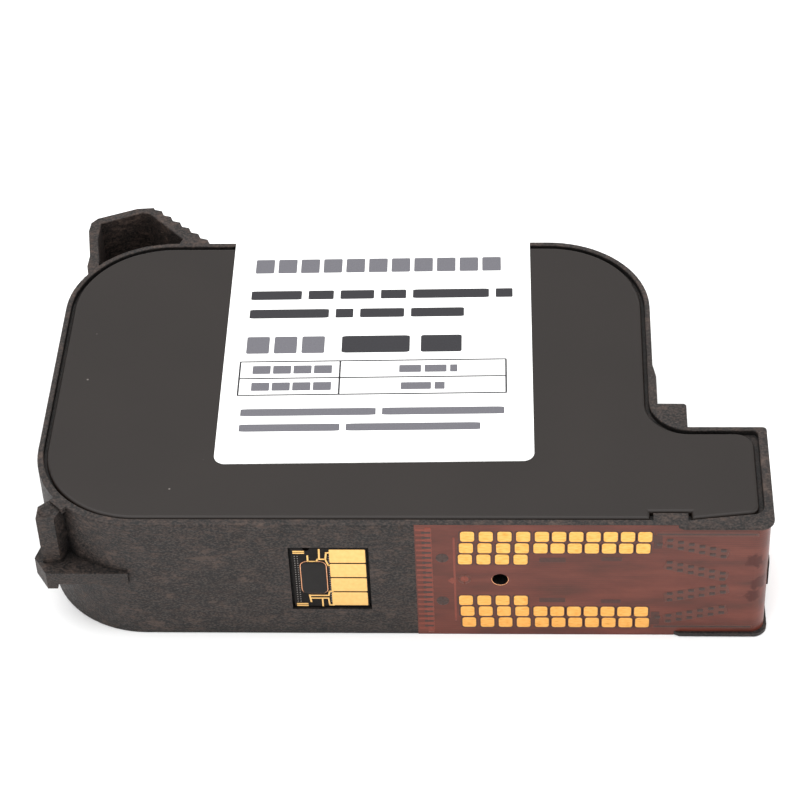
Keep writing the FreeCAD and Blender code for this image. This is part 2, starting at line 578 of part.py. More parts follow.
BAG_X = f"(({BAG_LEFT} + {BAG_RIGHT}) / 2)"
BAG_Y = f"(({BAG_FRONT} + {BAG_BACK}) / 2)"
piston_corners = [
    (f"{BAG_X} - dims.piston_length / 2", f"{BAG_Y} - dims.piston_depth / 2", "dims.piston_radius"),
    (f"{BAG_X} + dims.piston_length / 2", f"{BAG_Y} - dims.piston_depth / 2", "dims.piston_radius"),
    (f"{BAG_X} + dims.piston_length / 2", f"{BAG_Y} + dims.piston_depth / 2", "dims.piston_radius"),
    (f"{BAG_X} - dims.piston_length / 2", f"{BAG_Y} + dims.piston_depth / 2", "dims.piston_radius")]
PISTON_HIGH = f"({LINER_HIGH} - dims.piston_gap)"
PISTON_LOW = f"({LINER_LOW} + dims.piston_gap)"
upper_piston = prism("upper_piston", piston_corners, f"{PISTON_HIGH} - dims.piston_thickness", PISTON_HIGH)
lower_piston = prism("lower_piston", piston_corners, PISTON_LOW, f"{PISTON_LOW} + dims.piston_thickness")


def make_bow_spring():
    """Two bowed strips, back to back, that touch the plates at their crowns."""
    clearance = number("dims.spring_gap")
    rise = number(PISTON_HIGH) - number("dims.piston_thickness") - number(MIDDLE) - clearance
    strip = number("dims.spring_thickness")
    half_span = number("dims.spring_span") / 2
    foot = number("dims.spring_foot")
    radius = (half_span ** 2 + (rise - foot) ** 2) / (2 * (rise - foot))
    centre_z = rise - radius
    start = math.asin(half_span / radius)
    width = number("dims.spring_width")

    def arc_edge(size, flip):
        ends = [V(size * math.sin(turn), 0, centre_z + size * math.cos(turn))
                for turn in (-start, 0, start)]
        points = [V(p.x, 0, flip * p.z) for p in ends]
        return Part.Arc(*points).toShape()

    strips = []
    for flip in (1, -1):
        outer = arc_edge(radius, flip)
        inner = arc_edge(radius - strip, flip)
        joins = [Part.makeLine(outer.valueAt(outer.FirstParameter), inner.valueAt(inner.FirstParameter)),
                 Part.makeLine(outer.valueAt(outer.LastParameter), inner.valueAt(inner.LastParameter))]
        wire = Part.Wire(Part.__sortEdges__([outer, inner] + joins))
        strips.append(Part.Face(wire).extrude(V(0, width, 0)))
    ends = []
    reach = foot + clearance
    length = number("dims.spring_end")
    for side in (-1, 1):
        edge = side * half_span
        low_x = min(edge, edge - side * length)
        ends.append(Part.makeBox(length, width, 2 * reach, V(low_x, 0, -reach)))
    spring = strips[0].fuse(strips[1:] + ends).removeSplitter()
    spring.translate(V(0, -width / 2, 0))
    return spring


bow_spring = doc.addObject("Part::Feature", "bow_spring")
bow_spring.Label = "bow_spring"
bow_spring.Shape = make_bow_spring()
bow_spring.Placement = FreeCAD.Placement(V(number(BAG_X), number(BAG_Y), number(MIDDLE)), FreeCAD.Rotation())

# ---------------------------------------------------------------- flexible circuit and contacts
flex_strip = box("flex_strip", FLEX_X, FRONT, "0", f"{LIP_X} - {FLEX_X}", FLEX_IN, TOP)
flex_wrap_outer = prism("flex_wrap_outer", [
    (f"{LIP_X} - 0.5", FRONT, None),
    (END_FACE, FRONT, "dims.snout_front_radius"),
    (END_FACE, FLEX_BACK, None),
    (f"{LIP_X} - 0.5", FLEX_BACK, None)], "dims.lip_height", f"{TOP} - dims.lip_height_top")
flex_wrap_inner = prism("flex_wrap_inner", [
    (f"{LIP_X} - 2", f"{FRONT} + {FLEX_IN}", None),
    (f"{END_FACE} - {FLEX_IN}", f"{FRONT} + {FLEX_IN}", "(dims.snout_front_radius - dims.flex_thickness)"),
    (f"{END_FACE} - {FLEX_IN}", f"{FLEX_BACK} + 1", None),
    (f"{LIP_X} - 2", f"{FLEX_BACK} + 1", None)], "0", TOP)
flex_wrap = cut("flex_wrap", flex_wrap_outer, flex_wrap_inner)
flex_sheet = fuse("flex_sheet", [flex_strip, flex_wrap])
flex_hole = cylinder("flex_hole", HOLE_X, f"{FRONT} + 1", PAD_MIDDLE, "dims.hole_radius", "2", "-Y")
flex_window = box("flex_window", f"{END_FACE} - 1", f"{SNOUT_MIDDLE} - dims.die_length / 2 - dims.die_gap",
                  f"{MIDDLE} - dims.die_width / 2 - dims.die_gap", "2", "dims.die_length + 2 * dims.die_gap",
                  "dims.die_width + 2 * dims.die_gap")
flex_openings = fuse("flex_openings", [flex_hole, flex_window])
flex_circuit = cut("flex_circuit", flex_sheet, flex_openings)


def copies_of(label, prototype, places):
    """One node that holds a copy of a small solid at each place."""
    node = doc.addObject("Part::Feature", label)
    node.Label = label
    solids = []
    for place in places:
        solid = prototype.Shape.copy()
        solid.translate(place)
        solids.append(solid)
    node.Shape = Part.makeCompound(solids)
    return node


half_pad = "(dims.pad_size / 2)"
pad_outline = [(f"-{half_pad}", f"-{half_pad}", "dims.pad_radius"), (half_pad, f"-{half_pad}", "dims.pad_radius"),
               (half_pad, half_pad, "dims.pad_radius"), (f"-{half_pad}", half_pad, "dims.pad_radius")]
pad_prototype = prism("pad_prototype", pad_outline, f"{FRONT} - dims.pad_thickness", FRONT, "XZ_Plane")
columns = [number("dims.pad_start") + number(LEFT) + number("dims.pad_pitch") * step for step in range(5)]
columns += [columns[4] + number("dims.pad_pitch_fine") * step for step in range(1, 7)]
# Each row: its distance from the centre line, its shift towards the first column, its pads.
pad_rows = [("dims.pad_rows_outer", 0.0, 11), ("dims.pad_rows_middle", 0.2, 11), ("dims.pad_rows_inner", 0.38, 4)]
pad_places = []
for side in (1, -1):
    for distance, shift, count in pad_rows:
        for column in columns[:count]:
            pad_places.append(V(column - shift, 0, number(PAD_MIDDLE) + side * number(distance)))
contact_pads = copies_of("contact_pads", pad_prototype, pad_places)

# ---------------------------------------------------------------- printhead
DIE_Y = f"({SNOUT_MIDDLE} - dims.die_length / 2)"
DIE_Z = f"({MIDDLE} - dims.die_width / 2)"
slot_cutter = box("slot_cutter", f"{DIE_BED} - 1", f"{SNOUT_MIDDLE} - dims.slot_length / 2",
                  f"{MIDDLE} - dims.slot_width / 2", "2", "dims.slot_length", "dims.slot_width")
glue_sheet = box("glue_sheet", DIE_BED, DIE_Y, DIE_Z, "dims.glue_thickness", "dims.die_length", "dims.die_width")
die_adhesive = cut("die_adhesive", glue_sheet, slot_cutter)
die_block = box("die_block", f"{DIE_BED} + dims.glue_thickness", DIE_Y, DIE_Z, "dims.die_thickness",
                "dims.die_length", "dims.die_width")
feed_slot = box("feed_slot", DIE_BED, f"{SNOUT_MIDDLE} - dims.slot_length / 2", f"{MIDDLE} - 0.25",
                "2", "dims.slot_length", "0.5")
printhead_die = cut("printhead_die", die_block, feed_slot)
DIE_FACE = f"({DIE_BED} + {DIE_STACK})"
INNER_Y = f"({SNOUT_MIDDLE} - dims.slot_length / 2 - 0.1)"
barrier_sheet = box("barrier_sheet", DIE_FACE, INNER_Y, DIE_Z, "dims.barrier_thickness",
                    "dims.slot_length + 0.2", "dims.die_width")
barrier_slot = box("barrier_slot", f"{DIE_FACE} - 1", f"{INNER_Y} + 0.4", f"{MIDDLE} - 0.6", "2",
                   "dims.slot_length - 0.6", "1.2")
ink_barrier = cut("ink_barrier", barrier_sheet, barrier_slot)
nozzle_plate = box("nozzle_plate", f"{DIE_FACE} + dims.barrier_thickness", INNER_Y, DIE_Z,
                   "dims.plate_thickness", "dims.slot_length + 0.2", "dims.die_width")
half_bead = "(dims.bead_width / 2)"
half_die = "(dims.die_width / 2 + 0.5)"
bead_outline = [(f"-{half_bead}", f"-{half_die}", half_bead + " * 0.95"),
                (half_bead, f"-{half_die}", half_bead + " * 0.95"),
                (half_bead, half_die, half_bead + " * 0.95"),
                (f"-{half_bead}", half_die, half_bead + " * 0.95")]
bead_prototype = prism("bead_prototype", bead_outline, END_FACE, f"{END_FACE} + dims.bead_height", "YZ_Plane")
bead_reach = number("dims.die_length") / 2 + 0.15
encapsulant_beads = copies_of("encapsulant_beads", bead_prototype,
                              [V(0, number(SNOUT_MIDDLE) + side * bead_reach, number(MIDDLE))
                               for side in (-1, 1)])

# ---------------------------------------------------------------- memory board
CHIP_FACE = f"({FRONT} + dims.chip_sink)"
chip_z = f"{CHIP_MIDDLE} - dims.chip_height / 2"
chip_board = box("chip_board", CHIP_X, CHIP_FACE, chip_z, "dims.chip_length", "dims.chip_thickness",
                 "dims.chip_height")
chip_adhesive = box("chip_adhesive", f"{CHIP_X} + 0.5", f"{CHIP_FACE} + dims.chip_thickness",
                    f"{chip_z} + 0.5", "dims.chip_length - 1", "dims.chip_glue", "dims.chip_height - 1")
half_length = "(dims.chip_pad_length / 2)"
half_height = "(dims.chip_pad_height / 2)"
chip_pad = prism("chip_pad", [
    (f"-{half_length}", f"-{half_height}", "0.2"), (half_length, f"-{half_height}", "0.2"),
    (half_length, half_height, "0.2"), (f"-{half_length}", half_height, "0.2")],
    f"{CHIP_FACE} - dims.pad_thickness", CHIP_FACE, "XZ_Plane")
chip_pad_x = number(f"{CHIP_X} + dims.chip_length - dims.chip_pad_length / 2 - dims.chip_pad_margin")
chip_contacts = copies_of("chip_contacts", chip_pad, [
    V(chip_pad_x, 0, number(CHIP_MIDDLE) + number("dims.chip_pad_pitch") * step)
    for step in (-1.5, -0.5, 0.5, 1.5)])
glob_x = f"{CHIP_X} + 1.2"
GLOB_Z = f"({CHIP_MIDDLE} - dims.glob_height / 2)"
chip_globtop = prism("chip_globtop", [
    (glob_x, GLOB_Z, "0.8"), (f"{glob_x} + dims.glob_length", GLOB_Z, "0.8"),
    (f"{glob_x} + dims.glob_length", f"{GLOB_Z} + dims.glob_height", "0.8"),
    (glob_x, f"{GLOB_Z} + dims.glob_height", "0.8")],
    f"{CHIP_FACE} - dims.glob_thickness", CHIP_FACE, "XZ_Plane")

# ---------------------------------------------------------------- label
# A paper label, turned a little on the cover, with its tail folded down the back wall.
SHEAR = "tan(dims.label_turn)"
LABEL_X = f"({LEFT} + dims.label_start)"
LABEL_Y = f"({FRONT} + dims.label_front)"
reach = "dims.label_depth"
label_sheet = prism("label_sheet", [
    (LABEL_X, LABEL_Y, "dims.label_radius"),
    (f"{LABEL_X} + dims.label_width", f"{LABEL_Y} + dims.label_width * {SHEAR}", "dims.label_radius"),
    (f"{LABEL_X} + dims.label_width - {reach} * {SHEAR}", f"{BACK} + dims.label_thickness", None),
    (f"{LABEL_X} - {reach} * {SHEAR}", f"{BACK} + dims.label_thickness", None),
], TOP, f"{TOP} + dims.label_thickness")
label_tail = box("label_tail", f"{LABEL_X} - {reach} * {SHEAR}", BACK, f"{TOP} - dims.label_tail",
                 "dims.label_width", "dims.label_thickness", "dims.label_tail")
label = fuse("label", [label_sheet, label_tail])

# ---------------------------------------------------------------- check and write
doc.recompute()
SUBPARTS = [frame, inner_frame, top_cover, bottom_cover, upper_film, lower_film, upper_piston, lower_piston,
            bow_spring, upper_filter, lower_filter, fill_ball, flex_circuit, contact_pads, printhead_die,
            die_adhesive, ink_barrier, nozzle_plate, encapsulant_beads, chip_board, chip_adhesive,
            chip_contacts, chip_globtop, label]
for item in doc.Objects:
    if {"Invalid", "Error"} & set(item.State):
        raise RuntimeError(f"{item.Label} failed: {item.State}")
os.makedirs("parts", exist_ok=True)
for item in SUBPARTS:
    shape = item.Shape
    if shape.isNull() or not shape.isValid():
        raise RuntimeError(f"{item.Label} has no valid shape")
for item in SUBPARTS:
    item.Shape.exportStep(f"parts/{item.Label}.step")
    size = item.Shape.BoundBox
    print(f"{item.Label:18s} solids {len(item.Shape.Solids):2d} volume {item.Shape.Volume:9.1f}  "
          f"X {size.XMin:7.2f} {size.XMax:7.2f}  Y {size.YMin:7.2f} {size.YMax:7.2f}  "
          f"Z {size.ZMin:6.2f} {size.ZMax:6.2f}")
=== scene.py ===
# %% [markdown]
# # A half-inch inkjet cartridge for a date code printer
# The real object is a flat, stiff plastic casing with a short snout. A bag of ink hangs inside it,
# sheet covers close both sides, and a flexible circuit runs from the contact pads round the corner
# of the snout to the nozzle plate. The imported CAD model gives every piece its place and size, so
# this lesson is about finish: small rounded details, printed and plated surfaces, and soft light.

# %% Load the frame
import json
import math
import random

import bmesh
import bpy
from mathutils import Matrix, Vector

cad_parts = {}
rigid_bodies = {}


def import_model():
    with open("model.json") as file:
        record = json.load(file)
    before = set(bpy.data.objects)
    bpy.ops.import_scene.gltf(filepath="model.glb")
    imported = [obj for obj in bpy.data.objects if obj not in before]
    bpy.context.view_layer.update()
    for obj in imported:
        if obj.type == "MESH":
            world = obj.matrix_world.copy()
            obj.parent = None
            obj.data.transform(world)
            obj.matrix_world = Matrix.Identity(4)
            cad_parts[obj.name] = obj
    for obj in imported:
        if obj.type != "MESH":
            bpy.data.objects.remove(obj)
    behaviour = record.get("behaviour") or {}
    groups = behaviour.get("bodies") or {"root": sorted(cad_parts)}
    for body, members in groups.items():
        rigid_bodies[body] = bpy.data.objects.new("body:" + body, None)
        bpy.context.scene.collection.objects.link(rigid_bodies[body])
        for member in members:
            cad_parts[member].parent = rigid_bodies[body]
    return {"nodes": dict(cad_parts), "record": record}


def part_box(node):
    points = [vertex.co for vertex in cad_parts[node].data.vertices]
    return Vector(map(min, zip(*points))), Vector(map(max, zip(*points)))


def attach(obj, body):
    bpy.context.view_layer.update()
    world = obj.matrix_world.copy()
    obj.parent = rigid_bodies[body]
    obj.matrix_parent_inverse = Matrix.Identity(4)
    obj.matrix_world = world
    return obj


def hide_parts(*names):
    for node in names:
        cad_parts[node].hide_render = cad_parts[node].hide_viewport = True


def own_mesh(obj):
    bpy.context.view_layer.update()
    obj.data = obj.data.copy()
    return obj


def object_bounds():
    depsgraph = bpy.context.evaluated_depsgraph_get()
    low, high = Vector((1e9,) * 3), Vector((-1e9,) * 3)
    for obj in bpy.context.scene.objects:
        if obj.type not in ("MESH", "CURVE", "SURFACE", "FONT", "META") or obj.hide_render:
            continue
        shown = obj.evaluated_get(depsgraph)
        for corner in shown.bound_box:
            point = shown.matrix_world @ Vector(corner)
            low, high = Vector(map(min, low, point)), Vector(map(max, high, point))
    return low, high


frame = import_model()
nodes = frame["nodes"]
cad_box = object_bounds()
MM = 0.001
MERGE = 0.001 * MM  # vertices nearer than this are one

# %% [markdown]
# ## Places that come from the frame
# Nothing here is typed in twice. The corners of a few CAD nodes give the planes that the later
# cells build on: the contact face, the nozzle plate, the board's face and the label's top.

# %% Planes of the object
flex_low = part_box("flex_circuit")[0]
board_low, board_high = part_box("chip_board")
plate_low, plate_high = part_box("nozzle_plate")
label_low, label_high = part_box("label")
CONTACT_Y = flex_low.y
hole_place = next(Vector(m["pos_m"]) for m in frame["record"]["mounts"] if m["name"] == "locating_hole")
print(f"contact face y {CONTACT_Y / MM:.2f} mm, locating hole x {hole_place.x / MM:.2f} mm")

# %% [markdown]
# ## Camera
# A long lens, set above the contact side and tipped a little. Elevation, heading and
# roll are easier to read than a rotation matrix, so a short function turns them into one.

# %% Camera
AIM = Vector((-1.32, 2.41, 10.85)) * MM
DISTANCE = 396.7 * MM
ELEVATION, HEADING, ROLL = 42.705, 4.044, -2.789
LENS_MM, SENSOR_MM = 120.27, 36.0


def camera_matrix(aim, distance, elevation, heading, roll):
    """The camera looks along +Y when the heading is 0, and a positive elevation looks down."""
    down, turn = math.radians(elevation), math.radians(heading)
    forward = Vector((-math.sin(turn) * math.cos(down), math.cos(turn) * math.cos(down), -math.sin(down)))
    right = forward.cross(Vector((0, 0, 1))).normalized()
    up = right.cross(forward)
    tilt = math.radians(roll)
    right, up = right * math.cos(tilt) + up * math.sin(tilt), up * math.cos(tilt) - right * math.sin(tilt)
    turned = Matrix((right, up, -forward)).transposed().to_4x4()
    return Matrix.Translation(aim - forward * distance) @ turned


scene = bpy.context.scene
camera_data = bpy.data.cameras.new("camera")
camera_data.lens = LENS_MM
camera_data.sensor_width = SENSOR_MM
camera_data.clip_start = 0.01
camera = bpy.data.objects.new("camera", camera_data)
camera.matrix_world = camera_matrix(AIM, DISTANCE, ELEVATION, HEADING, ROLL)
scene.collection.objects.link(camera)
scene.camera = camera

# %% [markdown]
# ## Light
# Small dark glossy products are lit by large diffusers, so that every rounded edge picks up a long
# soft highlight. A white surround does most of the work: the plastics are nearly black, so most of
# what the camera sees on them is that surround, mirrored in the surface. One wide panel overhead
# models the forms, and a small one lifts the faces at the snout's end.

# %% Light
scene.view_settings.view_transform = "Standard"
world = bpy.data.worlds.new("studio")
world.use_nodes = True
background = world.node_tree.nodes["Background"]
background.inputs["Color"].default_value = (1.0, 1.0, 1.0, 1.0)
background.inputs["Strength"].default_value = 1.0
scene.world = world


def add_area(name, place, aim, size, power):
    """A square area light at a place, turned towards its aim."""
    data = bpy.data.lights.new(name, "AREA")
    data.size = size
    data.energy = power
    light = bpy.data.objects.new(name, data)
    light.location = place
    light.rotation_euler = (Vector(aim) - Vector(place)).to_track_quat("-Z", "Y").to_euler()
    scene.collection.objects.link(light)


add_area("overhead", (-0.10, -0.05, 0.60), (0, 0, 0), 0.80, 4.0)
add_area("end_fill", (0.50, -0.10, 0.25), (0, 0, 0), 0.40, 0.8)

# %% [markdown]
# ## Small helpers for materials
# Paint and plastic colours are written the way a paint chart gives them, as sRGB hex, and one
# function turns them into the linear values that a shader needs. Another adds a node, with its
# settings and its links, so that each material below reads as a short list.

# %% Helpers for materials
def linear(hex_colour):
    """Linear RGBA of an sRGB hex colour."""
    values = [int(hex_colour[i:i + 2], 16) / 255 for i in (1, 3, 5)]
    return [v / 12.92 if v <= 0.04045 else ((v + 0.055) / 1.055) ** 2.4 for v in values] + [1.0]


def add_node(tree, kind, inputs=(), **settings):
    """Adds a node, sets its properties, and fills or links the inputs that are named or numbered."""
    node = tree.nodes.new(kind)
    for name, value in settings.items():
        setattr(node, name, value)
    for socket, value in dict(inputs).items():
        if isinstance(value, bpy.types.NodeSocket):
            tree.links.new(value, node.inputs[socket])
        else:
            node.inputs[socket].default_value = value
    return node


def new_material(name, colour, roughness, metallic=0.0, ior=1.5):
    """A material whose uniform values sit directly on the Principled shader's sockets."""
    material = bpy.data.materials.new(name)
    material.use_nodes = True
    shader = material.node_tree.nodes["Principled BSDF"]
    shader.inputs["Base Color"].default_value = linear(colour)
    shader.inputs["Roughness"].default_value = roughness
    shader.inputs["Metallic"].default_value = metallic
    shader.inputs["IOR"].default_value = ior
    material.diffuse_color = linear(colour)
    return material, material.node_tree, shader


def object_place(tree, stretch=(1.0, 1.0, 1.0)):
    """Object coordinates in metres, with each axis multiplied by a stretch factor."""
    source = add_node(tree, "ShaderNodeTexCoord")
    mapping = add_node(tree, "ShaderNodeMapping", {"Vector": source.outputs["Object"], "Scale": stretch})
    return mapping.outputs["Vector"]


def noise(tree, place, size_mm, detail, roughness=0.5):
    """Noise whose features are about size_mm across."""
    settings = {"Vector": place, "Scale": 1 / (size_mm * MM), "Detail": detail, "Roughness": roughness}
    return add_node(tree, "ShaderNodeTexNoise", settings).outputs["Fac"]


def ramp(tree, factor, stops):
    """A colour ramp whose stops are (position, hex colour) pairs."""
    node = add_node(tree, "ShaderNodeValToRGB", {"Fac": factor})
    elements = node.color_ramp.elements
    elements[0].position, elements[0].color = stops[0][0], linear(stops[0][1])
    elements[1].position, elements[1].color = stops[-1][0], linear(stops[-1][1])
    for position, colour in stops[1:-1]:
        elements.new(position).color = linear(colour)
    return node.outputs["Color"]


def remap(tree, value, low, high, to_low, to_high):
    """A value's range stretched onto another, and held at the ends."""
    settings = {"Value": value, "From Min": low, "From Max": high, "To Min": to_low, "To Max": to_high}
    return add_node(tree, "ShaderNodeMapRange", settings).outputs["Result"]


def arithmetic(tree, operation, first, second=0.0):
    """One Math node. Operations that take a single value leave the second alone."""
    return add_node(tree, "ShaderNodeMath", {0: first, 1: second}, operation=operation).outputs[0]


def mix_colour(tree, factor, first, second):
    """The first colour where the factor is 0 and the second where it is 1."""
    return add_node(tree, "ShaderNodeMix", {0: factor, 6: first, 7: second}, data_type="RGBA").outputs[2]


def bump(tree, shader, height, depth_mm, strength):
    """Relief of a real depth, from a height between 0 and 1."""
    settings = {"Height": height, "Distance": depth_mm * MM, "Strength": strength}
    node = add_node(tree, "ShaderNodeBump", settings)
    tree.links.new(node.outputs["Normal"], shader.inputs["Normal"])


def dress(piece, material):
    """Gives a piece one material, in place of any that it has."""
    piece.data.materials.clear()
    piece.data.materials.append(material)


# %% [markdown]
# ## Casing plastic
# The casing is a stiff plastic filled with glass fibre. Moulded dark, it comes out matt and
# mottled: the fibres lie along the flow and break the surface as pale flecks. A cloudy mottle,
# streaks along the length and fine flecks make that, from a few millimetres down to a quarter of
# one. Painted shade: an ambient occlusion node turns the colour black in gaps and pockets.

# %% Glass-filled plastic
def make_glass_filled_plastic():
    material, tree, shader = new_material("glass_filled_plastic", "#2a2523", 0.6, ior=1.42)
    place = object_place(tree)
    cloud = noise(tree, place, 3.4, detail=8.0, roughness=0.72)
    streak = noise(tree, object_place(tree, (0.35, 0.5, 1.0)), 0.5, detail=4.0, roughness=0.7)
    both = arithmetic(tree, "ADD", cloud, streak)
    colour = ramp(tree, remap(tree, both, 0.78, 1.22, 0, 1), [
        (0.0, "#040303"), (0.40, "#0b0807"), (0.68, "#201815"), (1.0, "#443730")])
    fleck = noise(tree, object_place(tree, (0.7, 0.8, 1.0)), 0.23, detail=3.0)
    fleck = remap(tree, fleck, 0.42, 0.78, 0, 0.75)
    colour = mix_colour(tree, fleck, colour, linear("#4c403a"))
    # Painted shade: ambient occlusion turns the colour black in gaps and pockets.
    painted_shade = add_node(tree, "ShaderNodeAmbientOcclusion", {"Distance": 4 * MM}).outputs["AO"]
    colour = mix_colour(tree, remap(tree, painted_shade, 0.25, 0.75, 0.9, 0), colour, linear("#030303"))
    tree.links.new(colour, shader.inputs["Base Color"])
    tree.links.new(remap(tree, streak, 0.3, 0.7, 0.48, 0.72), shader.inputs["Roughness"])
    bump(tree, shader, arithmetic(tree, "ADD", both, fleck), 0.06, 0.9)
    return material


# %% [markdown]
# ## Coated sheet for the covers
# The covers are drawn sheet with a smooth brown-black coating. The coat is semi-gloss and nearly
# even in colour, with a faint orange peel. A few specks of dust come from a Voronoi texture: one
# point in each cell, of which only the cells with a high random value are kept.

# %% Coated sheet
def make_coated_sheet():
    material, tree, shader = new_material("dark_coated_sheet", "#241c18", 0.42, ior=1.40)
    place = object_place(tree)
    colour = ramp(tree, noise(tree, place, 14.0, detail=1.0), [(0.3, "#17100c"), (0.7, "#1a130f")])
    cells = add_node(tree, "ShaderNodeTexVoronoi", {"Vector": place, "Scale": 1 / (4.5 * MM)})
    near = remap(tree, cells.outputs["Distance"], 0.025, 0.04, 1, 0)
    chance = add_node(tree, "ShaderNodeSeparateColor", {"Color": cells.outputs["Color"]}).outputs["Red"]
    chosen = arithmetic(tree, "GREATER_THAN", chance, 0.80)
    speck = arithmetic(tree, "MULTIPLY", arithmetic(tree, "MULTIPLY", near, chosen), 0.5)
    tree.links.new(mix_colour(tree, speck, colour, linear("#8f8883")), shader.inputs["Base Color"])
    bump(tree, shader, noise(tree, place, 0.6, detail=1.0), 0.003, 0.5)
    return material


# %% [markdown]
# ## Polyimide film
# The flexible circuit is copper track laminated under amber polyimide. What shows is a red-brown
# sheet, darker where there is no copper, with fine lines along the length where tracks run close
# together. Three stains near the bend are dried adhesive, drawn as soft spots at places in space.

# %% Polyimide film
def spot(tree, centre_mm, radius_mm, wobble):
    """A mask that is 1 inside a ragged round spot on the contact face and 0 outside it."""
    ends = {0: object_place(tree), 1: Vector(centre_mm) * MM}
    shifted = add_node(tree, "ShaderNodeVectorMath", ends, operation="SUBTRACT")
    flat = add_node(tree, "ShaderNodeVectorMath", {0: shifted.outputs[0], 1: (1, 0, 1)}, operation="MULTIPLY")
    length = add_node(tree, "ShaderNodeVectorMath", {0: flat.outputs[0]}, operation="LENGTH").outputs["Value"]
    edge = arithmetic(tree, "MULTIPLY_ADD", wobble, -radius_mm * MM * 1.6)
    edge.node.inputs[2].default_value = radius_mm * MM * 1.5
    inside = arithmetic(tree, "SUBTRACT", edge, length)
    return remap(tree, inside, -0.15 * MM, 0.35 * MM, 0, 1)


def make_polyimide():
    material, tree, shader = new_material("polyimide_over_copper", "#612d20", 0.34, ior=1.38)
    cloud = noise(tree, object_place(tree, (0.16, 1.0, 0.7)), 1.8, detail=4.0, roughness=0.6)
    colour = ramp(tree, cloud, [(0.30, "#48241a"), (0.50, "#5b2a1f"), (0.72, "#6b3528")])
    height = add_node(tree, "ShaderNodeSeparateXYZ", {0: object_place(tree)}).outputs["Z"]
    wave = arithmetic(tree, "SINE", arithmetic(tree, "MULTIPLY", height, 2 * math.pi / (0.42 * MM)))
    run = remap(tree, noise(tree, object_place(tree, (0.10, 1.0, 1.0)), 2.6, detail=1.0), 0.42, 0.60, 0, 0.28)
    lines = arithmetic(tree, "MULTIPLY", remap(tree, wave, 0.1, 0.9, 0, 1), run)
    colour = mix_colour(tree, lines, colour, linear("#33201b"))
    ragged = noise(tree, object_place(tree), 1.1, detail=3.0)
    for centre, radius in (((48.7, 0, 14.9), 1.8), ((49.2, 0, 10.4), 1.7), ((48.8, 0, 8.0), 1.5)):
        colour = mix_colour(tree, spot(tree, centre, radius, ragged), colour, linear("#431204"))
    tree.links.new(colour, shader.inputs["Base Color"])
    bump(tree, shader, arithmetic(tree, "ADD", cloud, lines), 0.012, 0.5)
    return material


# %% [markdown]
# ## Metals, resins and paper
# The remaining finishes are simple, and each is named for the real thing. Gold is soft, so contact
# pads carry fine wipe marks. Board lacquer and resin are nearly black, and their low index keeps
# the bright surround from greying them. Paper is white and matt.

# %% Metals, resins and paper
def make_gold_plate():
    """Electroless gold over nickel on copper, wiped by test probes along its length."""
    material, tree, shader = new_material("gold_plate", "#f6c062", 0.38, metallic=1.0)
    wipe = noise(tree, object_place(tree, (0.45, 1.0, 1.5)), 0.40, detail=3.0)
    colour = ramp(tree, wipe, [(0.28, "#d99c4c"), (0.46, "#edb060"), (0.75, "#f4be70")])
    tree.links.new(colour, shader.inputs["Base Color"])
    bump(tree, shader, wipe, 0.010, 0.5)
    return material


def make_grained(name, colour, light, size_mm, roughness, metallic=0.0, ior=1.42):
    """A surface whose colour and relief vary a little, at the size of its own grain."""
    material, tree, shader = new_material(name, colour, roughness, metallic, ior=1.5 if metallic else ior)
    grain = noise(tree, object_place(tree), size_mm, detail=3.0)
    tree.links.new(ramp(tree, grain, [(0.3, colour), (0.7, light)]), shader.inputs["Base Color"])
    bump(tree, shader, grain, 0.004, 0.4)
    return material


plastic = make_glass_filled_plastic()
coated = make_coated_sheet()
polyimide = make_polyimide()
gold = make_gold_plate()
# Copper seen through the film: red where it is bright, dim under thick film, grey where oxidised.
track_red = make_grained("track_under_film_red", "#6e2f20", "#7c3929", 0.5, 0.36)
track_grey = make_grained("track_under_film_grey", "#33221d", "#402c26", 0.5, 0.36)
track_dim = make_grained("track_under_film_dim", "#52291e", "#5c2f23", 0.9, 0.36)
window_edge = make_grained("film_window_edge", "#3c1e17", "#47251c", 0.4, 0.36)
flash = make_grained("gold_flash", "#ebba72", "#f1c47e", 0.6, 0.34, metallic=1.0)
copper = make_grained("bare_copper", "#d68f68", "#f0b890", 0.2, 0.25, metallic=1.0)
lacquer = make_grained("black_board_lacquer", "#090706", "#171210", 0.30, 0.48, ior=1.22)
resin = make_grained("encapsulating_resin", "#0d0a09", "#120e0d", 1.2, 0.60, ior=1.36)
silk = make_grained("board_silk_print", "#77726f", "#8d8884", 0.2, 0.6)
paper = make_grained("coated_label_paper", "#f1f1f0", "#f6f6f5", 0.3, 0.55)
ink_bold = make_grained("printed_ink", "#1d1c20", "#26252a", 0.2, 0.6)
ink_thin = make_grained("thin_printed_ink", "#5b5a60", "#66656b", 0.2, 0.6)
natural = make_grained("natural_polypropylene", "#d8d7cf", "#e2e1da", 2.0, 0.45)
steel = make_grained("stainless_steel", "#b9b8b4", "#c6c5c2", 0.3, 0.28, metallic=1.0)
laminate = make_grained("barrier_laminate", "#9ea2a6", "#b2b6ba", 3.0, 0.22, metallic=0.6)
silicon = make_grained("polished_silicon", "#6c6f74", "#74777c", 0.5, 0.15, metallic=1.0)
nickel = make_grained("electroformed_nickel", "#b7a98a", "#c2b594", 0.15, 0.3, metallic=1.0)
barrier = make_grained("photo_polymer", "#7d5a22", "#8b6628", 0.2, 0.3)
orifice = make_grained("nozzle_orifice", "#050505", "#0a0909", 0.05, 0.4)
